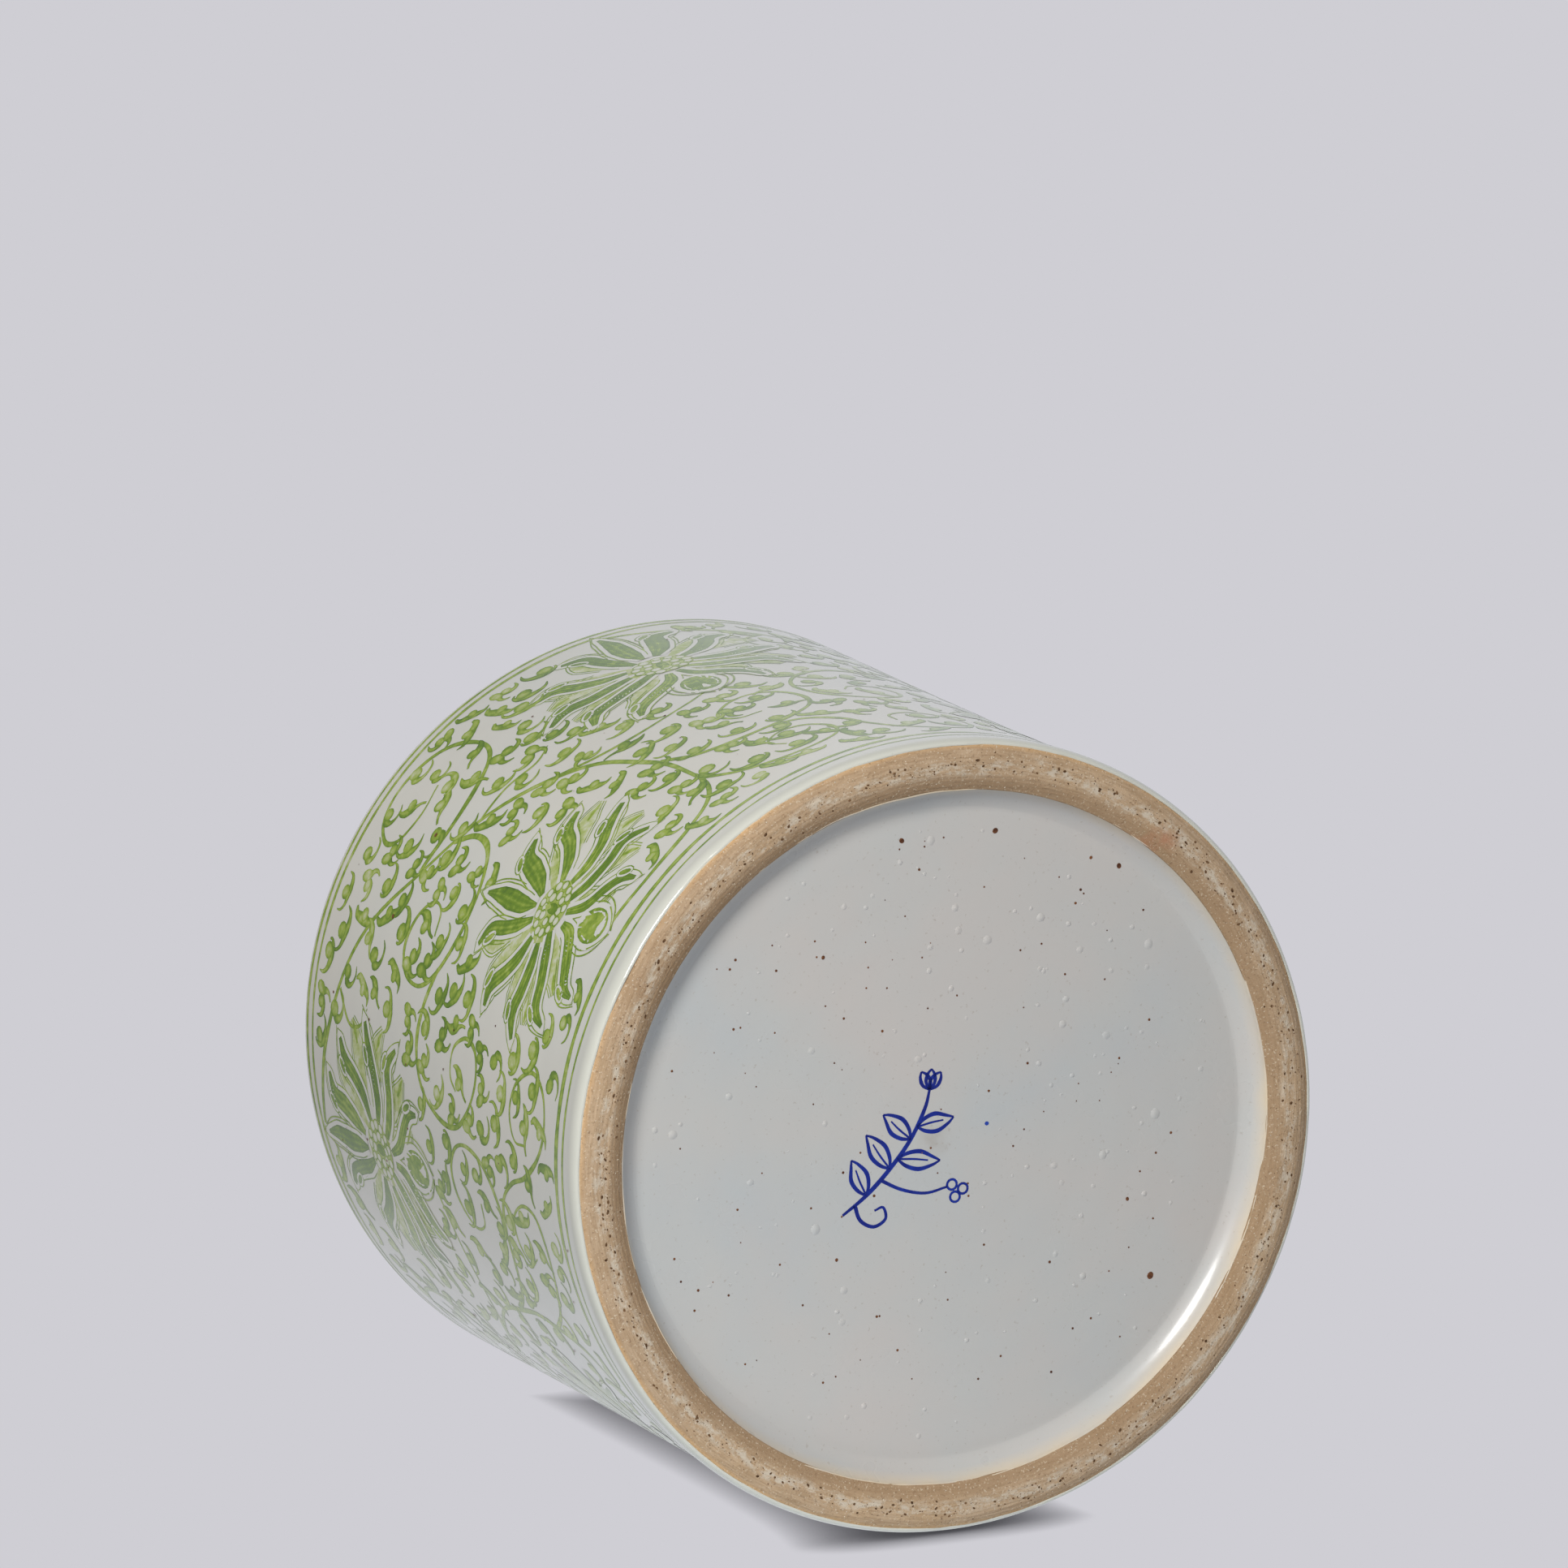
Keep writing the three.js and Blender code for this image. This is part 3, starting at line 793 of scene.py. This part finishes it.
# leaves: strokes as (widths, points), then round lobes as (centre, radii, turn)
LEAVES = [
    # a round lobe on a body that runs out into a hooked tail
    ([((0.6, 1.0, 2.4, 3.2, 2.6, 1.7, 1.1, 0.35), [(-3.6, 1.6), (-3.9, 0.2), (-2.4, -1.5), (-0.2, -2.1),
      (1.9, -1.9), (3.9, -0.9), (5.1, 0.8), (5.3, 2.9)])],
     [((-0.9, 0.3), (2.3, 2.5), 0.25)]),
    # a body with a tail at both ends
    ([((0.35, 0.9, 1.3, 2.2, 3.0, 2.2, 1.2, 0.35), [(-5.2, 3.8), (-5.4, 1.6), (-4.2, -0.3), (-2.0, -1.1),
      (0.4, -1.5), (2.7, -1.5), (4.7, -0.4), (5.7, 1.9)])],
     [((-0.3, 0.9), (2.2, 2.3), -0.3)]),
    # two lobes side by side, on a stem
    ([((2.4, 2.9, 2.1, 1.3, 0.35), [(0.2, 0.2), (2.0, -1.1), (3.9, -1.2), (5.3, 0.1), (5.6, 2.4)]),
      ((2.6, 1.7, 1.1, 0.6), [(-1.2, -0.2), (-1.9, -2.4), (-1.3, -4.3), (0.3, -5.6)])],
     [((-1.6, 1.3), (1.9, 2.9), 0.28), ((1.5, 0.4), (1.9, 2.0), -0.5)]),
    # a hanging leaf that twists to one side
    ([((0.9, 2.3, 2.9, 3.4, 2.8, 1.6, 0.35), [(-2.0, 5.6), (-2.6, 3.4), (-1.4, 1.4), (0.2, -0.6),
      (1.6, -2.6), (3.3, -3.8), (5.4, -3.4)])],
     [((1.0, 0.3), (1.9, 1.8), 0.5)]),
    # a leaf on a rising stem
    ([((0.8, 1.0, 1.4, 3.0, 3.4, 1.9, 0.35), [(-4.6, -3.8), (-3.4, -2.2), (-1.9, -1.2), (0.0, -0.2),
      (1.9, 1.2), (3.4, 3.2), (3.6, 5.4)])],
     [((-0.6, 1.4), (1.9, 2.2), 0.5)]),
    # a long tail curling back under a single lobe
    ([((2.6, 3.0, 1.9, 1.2, 0.9, 0.35), [(-0.6, 1.6), (-2.2, 0.0), (-1.6, -2.2), (0.6, -3.4), (3.2, -3.0),
                                        (4.8, -1.2)])],
     [((-0.2, 1.8), (2.2, 2.5), 0.0)]),
]

LEAF_SHARES = [0.24, 0.20, 0.18, 0.13, 0.12, 0.13]

# petals: centre line from the heart outwards, widths along it, and the side of its rolled lip, if any
PETALS = [
    ([(-4, 5.7), (-6.8, 11.4), (-8.4, 17.6), (-10.6, 24.2), (-15, 27.4)], (1.8, 3.8, 4.0, 3.8, 1.5), 1),
    ([(-8, 1.9), (-13.6, 4.0), (-18.4, 8.2), (-22.6, 13.0), (-28, 13.6)], (2.0, 4.0, 4.1, 4.2, 1.5), -1),
    ([(2.3, 8), (5.2, 13), (7.2, 19.5), (9.0, 25.2), (14.2, 28.2)], (1.8, 5.0, 5.8, 4.8, 1.5), 1),
    ([(6.8, 2.8), (12.2, 5.8), (16.4, 11.6), (19.2, 17), (24.6, 20.2)], (2.0, 4.0, 4.1, 4.2, 1.6), 1),
    ([(7.4, -2.3), (13, -3.6), (19, -2.2), (24.6, 1.6), (31.4, 5.0)], (2.2, 3.8, 3.8, 3.8, 1.7), 1),
    ([(-9, -2.3), (-14.6, -3.6), (-20.6, -3.8), (-26.4, -2.2), (-32.4, -5.4)], (2.2, 3.9, 4.4, 4.4, 1.5), -1),
    ([(4, -6.6), (9.4, -10.2), (15.8, -11.4), (22.8, -10.8), (27.8, -15.6)], (2.2, 3.5, 3.4, 3.4, 1.4), 1),
    ([(-5.1, -5.7), (-10.6, -9.3), (-17, -12.2), (-24, -14.2), (-27, -20.2)], (2.2, 3.8, 3.9, 4.0, 1.4), -1),
    ([(0.8, -8.5), (3.8, -15.2), (9.4, -19.6), (13.2, -23.6), (14.6, -28.6)], (1.8, 3.3, 3.4, 3.0, 1.2), 1),
    ([(-2.3, -9.6), (-4.0, -15.4), (-10.2, -20.6), (-16, -25), (-18, -30)], (2.0, 3.8, 4.2, 3.6, 1.2), -1),
    ([(-1, 8), (-1.5, 13.5), (-1.6, 20.5), (-1.4, 27.5), (-2.2, 34.5)], (1.2, 4.6, 5.6, 4.4, 0.9), 0),
]
BETWEEN = [(118, 29), (152, 30), (176, 29), (199, 30), (228, 28), (46, 30), (24, 33), (-12, 32), (-40, 30),
           (-63, 26)]


def turned(points, angle, scale=1.0, flip=1):
    p = np.asarray(points, float) * np.array([flip, 1]) * scale
    c, s = math.cos(angle), math.sin(angle)
    return p @ np.array([[c, s], [-s, c]])


def paint_petal(brush, path, widths, lip, lift, tone, rng):
    """A dark stroke inside a reserved white edge, with fine lines round it and a rolled lip."""
    line = smooth(path, 6)
    width = swell(widths, len(line))
    side = sideways(line)
    tip = line[-1] + (line[-1] - line[-3]) * 0.9 + side[-1] * lip * 0.5
    gap = 1.25
    brush.stroke(np.vstack([line, tip]), np.append(width, 0.4) + 2 * gap, [0] * 5, lift)
    for extra, start in ((gap, 3), (gap + 0.95, 10)):
        left = line + side * (width / 2 + extra)[:, None]
        right = line - side * (width / 2 + extra)[:, None]
        if extra > gap and rng.uniform() < 0.5:
            left, right = right, left
        end = tip + (tip - line[-1]) * (extra - gap + 0.9) * 0.5
        edge = smooth(np.vstack([left[start::3], [end]]), 3)
        brush.stroke(edge, swell((0.3, 0.42, 0.3), len(edge)), [0.5, 0.62, 0.5], lift + 0.001)
        if extra == gap or lip == 0:
            edge = smooth(np.vstack([right[start::3], [end]]), 3)
            brush.stroke(edge, swell((0.3, 0.42, 0.3), len(edge)), [0.5, 0.62, 0.5], lift + 0.001)
    profile = np.array([0.86, 0.54, 0.70, 0.46, 0.72, 0.50, 0.82]) + tone
    brush.stroke(line, width, profile, lift + 0.002, ends=(0.06, 0.16))
    if lip:
        at = len(line) * 3 // 4
        curl = line[at] + side[at] * lip * (width[at] / 2 + 0.5)
        heading = line[at + 1] - line[at]
        turn = math.atan2(heading[1], heading[0])
        brush.blob(curl, (3.0, 1.5), turn, 0, 0, lift + 0.003, sides=12)
        brush.blob(curl, (2.3, 0.85), turn, 0.5 + tone, 0.66 + tone, lift + 0.004, sides=12)
        around = np.radians(np.linspace(-30, 210, 9)) * lip
        arch = np.stack([np.cos(around) * 3.1, np.sin(around) * 1.7], -1)
        brush.stroke(curl + turned(arch, turn), 0.36, [0.6] * 3, lift + 0.005)


def paint_flower(lines, centre, seed, tone):
    rng = np.random.default_rng(seed)
    size = rng.uniform(0.97, 1.03)
    lean = rng.uniform(-0.05, 0.05)
    place = lambda p: turned(p, lean, size) + np.array(centre)
    for heading, reach in BETWEEN:
        turn = math.radians(heading + rng.uniform(-3, 3))
        bend = rng.choice([-1, 1]) * rng.uniform(1.2, 2.6)
        run = np.array([(7, 0), (reach * 0.5, bend * 0.5), (reach * 0.8, bend), (reach, bend * 0.2)])
        path = smooth(turned(run, turn), 6)
        width = swell((2, 6.2, 6.6, 1.0), len(path))
        lines.stroke(place(path), width, [0.06, 0.16, 0.2, 0.16, 0.06], 0.028, ends=(0.1, -0.02))
        for side in (-1, 1):
            for extra in (0, 0.9):
                edge = (path + sideways(path) * (side * (width / 2 + extra))[:, None])[7:]
                lines.stroke(place(edge), 0.34, [0.5, 0.6, 0.5], 0.030)
        mark = turned([(reach * 0.80, bend), (reach * 0.9, bend * 0.7), (reach * 0.98, bend * 0.3)], turn)
        lines.stroke(place(smooth(mark, 4)), swell((0.8, 1.7, 0.5), 9), [0.42, 0.5, 0.42], 0.031)
    for i, (path, widths, lip) in enumerate(PETALS):
        own = np.array(path) + rng.uniform(-0.35, 0.35, (len(path), 2))
        shade = tone + rng.uniform(-0.10, 0.08)
        paint_petal(lines, place(own), widths, lip, 0.034 + 0.006 * i, shade, rng)
    top = 0.034 + 0.006 * len(PETALS)
    lines.blob(place((0.0, -25.0)), (6.4, 8.6), lean, 0, 0, top, sides=20)
    lines.blob(place((0.0, -24.4)), (4.8, 6.9), lean, 0.42 + tone, 0.62 + tone, top + 0.002, sides=20)
    lines.blob(place((-0.8, -22.8)), (2.2, 3.2), 0.4, 0.62 + tone, 0.45 + tone, top + 0.003, sides=12)
    for side in (-1, 1):
        for away in (0, 1.5):
            arc_points = [(side * (5.6 + away), -18.6), (side * (6.6 + away), -24.5),
                          (side * (4.2 + away), -30.4), (side * 0.4, -34.2 - away * 0.3)]
            lines.stroke(place(smooth(arc_points, 5)), swell((0.3, 0.5, 0.4), 16), [0.5, 0.62, 0.5], top)
    lines.blob(place((0, -0.6)), (7.6, 7.0), 0.2, 0.30 + tone, 0.36 + tone, top + 0.001, sides=18)
    for count, across, down in ((13, 6.4, 5.6), (8, 3.5, 3.7)):
        for k in range(count):
            turn = TAU * (k + rng.uniform(-0.15, 0.15)) / count
            spot = place((across * math.cos(turn), down * math.sin(turn) - 0.6))
            radius = rng.uniform(1.12, 1.42)
            lines.blob(spot, (radius, radius * 1.05), 0, 0.03, 0.12, top + 0.003, sides=10)
            lines.ring(spot, radius, 0.34, 0.58, top + 0.004, sides=12)
    lines.blob(place((0, -0.9)), (1.5, 2.7), 0, 0.6, 0.75, top + 0.005, sides=12)


def paint_leaf(brush, spot, kind, turn, scale, flip, tone, lift):
    strokes, lobes = LEAVES[kind]
    for widths, points in strokes:
        path = smooth(turned(points, turn, scale, flip), 3) + spot
        width = swell(widths, len(path)) * scale
        brush.stroke(path, width, np.array([0.68, 0.44, 0.36, 0.52, 0.74]) + tone, lift, ends=(0.18, 0.18))
    for centre, radii, lean in lobes:
        middle = turned([centre], turn, scale, flip)[0] + spot
        brush.blob(middle, np.array(radii) * scale, turn + lean * flip, 0.28 + tone, 0.66 + tone,
                   lift + 0.002, sides=11)


def scattered(rng, vines, flowers):
    """Places for the leaves: spread evenly over the wall, clear of the vines and the flowers."""
    girth = 4 * PERIOD
    spots = np.zeros((0, 2))

    def gap(a, b):
        across = np.abs(a[:, None, 0] - b[None, :, 0])
        across = np.minimum(across, girth - across)
        return np.hypot(across, a[:, None, 1] - b[None, :, 1])

    for spacing, tries in ((8.8, 8000), (8.0, 10000), (7.2, 12000)):
        tried = np.column_stack([rng.uniform(0, girth, tries), rng.uniform(19.2, 161.8, tries)])
        tried = tried[(gap(tried, vines).min(1) > 2.6) & (gap(tried, flowers).min(1) > 35.0)]
        for spot in tried:
            if len(spots) == 0 or gap(spot[None], spots).min() > spacing:
                spots = np.vstack([spots, spot])
    return spots


def paint_wall(material):
    """The vines, the leaves and the flowers: flat ribbons and dabs with no thickness of their own,
    0.03 to 0.11 mm off the glaze. The four lines round the wall are made the same way."""
    rng = np.random.default_rng(41)
    girth = 4 * PERIOD
    vines, leaves, flowers = Brush(wall_surface), Brush(wall_surface), Brush(wall_surface)
    along_vines, heads = [], []
    for k in range(4):
        shift = np.array([k * PERIOD, 0])
        drift = rng.uniform(0, TAU, 4)
        for n, (width, points) in enumerate(VINES):
            path = smooth(points, 8)
            along, up = path.T
            sway = 0.8 * np.sin(up / 11 + drift[0]) + 0.3 * np.sin(up / 4 + drift[1])
            path = path + np.stack([sway, 0.8 * np.sin(along / 12 + drift[2])], -1) + shift
            step = np.arange(len(path))
            uneven = 1 + 0.16 * np.sin(step / 5.0 + drift[3]) + 0.08 * np.sin(step / 1.9)
            ease = swell((1.25, 1.1, 1, 0.9, 0.8, 0.45), len(path)) if n else 1.0
            vines.stroke(path, width * uneven * ease, [0.62, 0.48, 0.46, 0.50, 0.64], 0.03 + 0.002 * (n % 4))
            along_vines.append(path)
        for middle in (LOWER_FLOWER, UPPER_FLOWER):
            head = np.array(middle) + shift + rng.uniform(-0.6, 0.6, 2)
            paint_flower(flowers, head, int(rng.integers(1000)), rng.uniform(-0.06, 0.06))
            heads.append(head)
    once_round = np.array([girth, 1e6])
    spots = scattered(rng, np.vstack(along_vines) % once_round, np.array(heads) % once_round)
    for i, spot in enumerate(spots):
        near_foot = spot[1] < 28
        kind = int(rng.choice([2, 3, 3, 5]) if near_foot else rng.choice(len(LEAVES), p=LEAF_SHARES))
        turn = rng.normal(0, 0.38)
        flip = -1 if rng.uniform() < 0.32 else 1
        paint_leaf(leaves, spot, kind, turn, rng.uniform(0.82, 1.02), flip, rng.normal(0, 0.06),
                   0.034 + 0.003 * (i % 5))
    offset = np.array([FIRST_FLOWER, 0])
    for brush, name in ((vines, "scroll_vines"), (leaves, "scroll_leaves"), (flowers, "scroll_flowers")):
        brush.points = [p + offset for p in brush.points]
        brush.build(name, material, "green_enamel")
    for i, (node, (z, width)) in enumerate({**FOOT_LINES, **RIM_LINES}.items()):
        line = Brush(wall_surface)
        turn = np.linspace(0, TAU, 601)
        height = z + ripple(turn, 60 + i, [(2, 0.10), (5, 0.10), (11, 0.07), (23, 0.04)])
        path = np.stack([turn * GIRTH, height], -1)
        uneven = 1 + ripple(turn, 70 + i, [(3, 0.12), (9, 0.10), (31, 0.08), (67, 0.05)])
        line.stroke(path, width * uneven, [0.60, 0.50, 0.42, 0.50, 0.62], 0.03)
        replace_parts(line.build(node.replace("enamel", "painted"), material, "green_enamel"), node)


# ---------------------------------------------------------------- under the base

def paint_mark(material):
    """A small leafy sprig in blue, at the middle of the underside."""
    mark = Brush(hollow_surface)
    centre = np.array([-9.5, -4.0])
    ink = [0.62, 0.80, 0.86, 0.80, 0.62]

    def line(points, widths):
        path = smooth(points, 6) + centre
        mark.stroke(path, swell(widths, len(path)) * 1.25, ink, 0.05, ends=(0.2, 0.2))

    line([(-15.5, -13), (-9.5, -8.8), (-3.5, -3.0), (1.8, 3.6), (5.4, 10.6), (6.6, 15.0)],
         (0.5, 0.9, 0.85, 0.8, 0.5))
    for x, z, heading, length in ((-9.5, -8.8, 112, 9.5), (-3.5, -3.0, 124, 10.5),
                                  (-1.6, -0.8, -8, 11.0), (1.8, 3.6, 136, 9.5), (3.4, 6.4, 8, 9.5)):
        turn = math.radians(heading)
        for side in (-1, 1):
            outline = [(0, 0), (length * 0.22, side * 1.5), (length * 0.52, side * 2.1),
                       (length * 0.82, side * 1.0), (length, 0.25)]
            line(turned(outline, turn) + np.array([x, z]), (0.45, 0.75, 0.85, 0.6, 0.35))
        rib = [(0.6, 0), (length * 0.4, 0.2), (length * 0.72, 0.1)]
        line(turned(rib, turn) + np.array([x, z]), (0.4, 0.4, 0.3))
    for heading in (54, 84, 116):
        turn = math.radians(heading)
        for side in (-1, 1):
            bud = [(0, 0), (1.7, side * 1.1), (3.6, side * 0.9), (4.9, 0)]
            line(turned(bud, turn) + np.array([6.6, 15.0]), (0.5, 0.75, 0.35))
    line([(-12.4, -10.9), (-11.0, -14.6), (-7.6, -16.4), (-4.6, -14.8), (-5.2, -12.0), (-7.4, -12.6)],
         (0.8, 0.7, 0.6, 0.4))
    for x, z in ((12.4, -8.2), (15.2, -9.4), (13.2, -11.2)):
        mark.ring(centre + np.array([x, z]), 1.25, 0.6, 0.72, 0.05, 14)
    line([(-6.0, -5.4), (-0.5, -8.2), (5.6, -9.6), (11.2, -8.6)], (0.7, 0.6, 0.45))
    mark.blob(np.array([11.8, 1.6]), (0.55, 0.5), 0, 0.5, 0.4, 0.05, 10)
    mark.build("base_sprig", material, "blue_mark")


def add_kiln_marks(glaze, iron, grains):
    """Iron specks, and the small pimples that sand left under the glaze."""
    rng = np.random.default_rng(17)
    specks, wall_specks, pimples = Brush(hollow_surface), Brush(wall_surface), Brush(hollow_surface)
    for right, up, size in ((-10.3, 70.4, 0.55), (13.5, 71.0, 0.6), (45.5, 60.3, 0.55), (54.7, -39.2, 0.75),
                            (38.2, 62.8, 0.35), (-30.0, 44.5, 0.4), (-26.5, -27.4, 0.35), (48.5, -20.0, 0.4)):
        specks.blob((right, up), (size * 1.25, size * 1.1), rng.uniform(0, 3), 1, 1, 0.05, 9, dome=0.05)
    for _ in range(110):
        turn, reach = rng.uniform(0, TAU), 74 * math.sqrt(rng.uniform())
        size = rng.uniform(0.15, 0.36)
        spot = (reach * math.cos(turn), reach * math.sin(turn))
        specks.blob(spot, (size, size), 0, 1, 1, 0.045, 7, dome=0.03)
    for _ in range(110):
        size = rng.uniform(0.12, 0.42) if rng.uniform() < 0.9 else 0.6
        spot = (rng.uniform(0, 4 * PERIOD), rng.uniform(6, 166))
        wall_specks.blob(spot, (size, size * 0.9), 0, 1, 1, 0.15, 7, dome=0.03)
    for _ in range(150):
        turn, reach = rng.uniform(0, TAU), 73 * math.sqrt(rng.uniform())
        spot = np.array([reach * math.cos(turn), reach * math.sin(turn)])
        if np.linalg.norm(spot - np.array([-9.5, -4])) < 22:
            continue
        size = rng.uniform(0.35, 0.8) if rng.uniform() < 0.85 else rng.uniform(0.9, 1.3)
        radii = (size, size * rng.uniform(0.8, 1.2))
        pimples.blob(spot, radii, 0, 0, 0, -0.03, 12, dome=rng.uniform(0.16, 0.34) * size + 0.04)
    pits = Brush(ring_surface)
    for _ in range(1300):
        turn = rng.uniform(0, TAU)
        track = ripple(turn, 33, [(2, 0.6), (5, 0.5)])
        spot = (turn * RING_MIDDLE, float(track + rng.normal(-0.3, 1.3)))
        size = 0.07 + 0.26 * rng.uniform() ** 4
        pits.blob(spot, (size * rng.uniform(1, 1.9), size), rng.normal(0, 0.5), 1, 0.9, 0.05, 7)
    for _ in range(420):
        spot = (rng.uniform(0, TAU) * RING_MIDDLE, rng.uniform(-5.0, 4.6))
        size = rng.uniform(0.07, 0.16)
        pits.blob(spot, (size, size), 0, 0.1, 0.2, 0.05, 6)
    pits.build("foot_ring_grains", grains, "biscuit_clay")
    specks.build("iron_specks_base", iron, "underside_glaze", flat=False)
    wall_specks.build("iron_specks_wall", iron, "outside_glaze", flat=False)
    pimples.build("glaze_pimples", glaze, "underside_glaze", flat=False)


# ---------------------------------------------------------------- making

def main():
    add_camera()
    add_stage()
    add_lights()
    add_world()
    clay = biscuit_material()
    for node in ("base_slab", "body_wall"):
        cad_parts[node].data.materials.clear()
        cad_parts[node].data.materials.append(clay)
    under = underside_glaze_material()
    add_foot_ring(clay)
    add_outside_glaze(outside_glaze_material())
    add_inside_glaze(inside_glaze_material())
    add_underside_glaze(under)
    paint_wall(painted("green_enamel", GREEN, wall_tone, orange_peel))
    paint_mark(painted("blue_mark", COBALT, hollow_tone, hollow_peel))
    add_kiln_marks(under, iron_material(), grain_material())


bpy.context.scene.view_settings.view_transform = "Standard"
main()
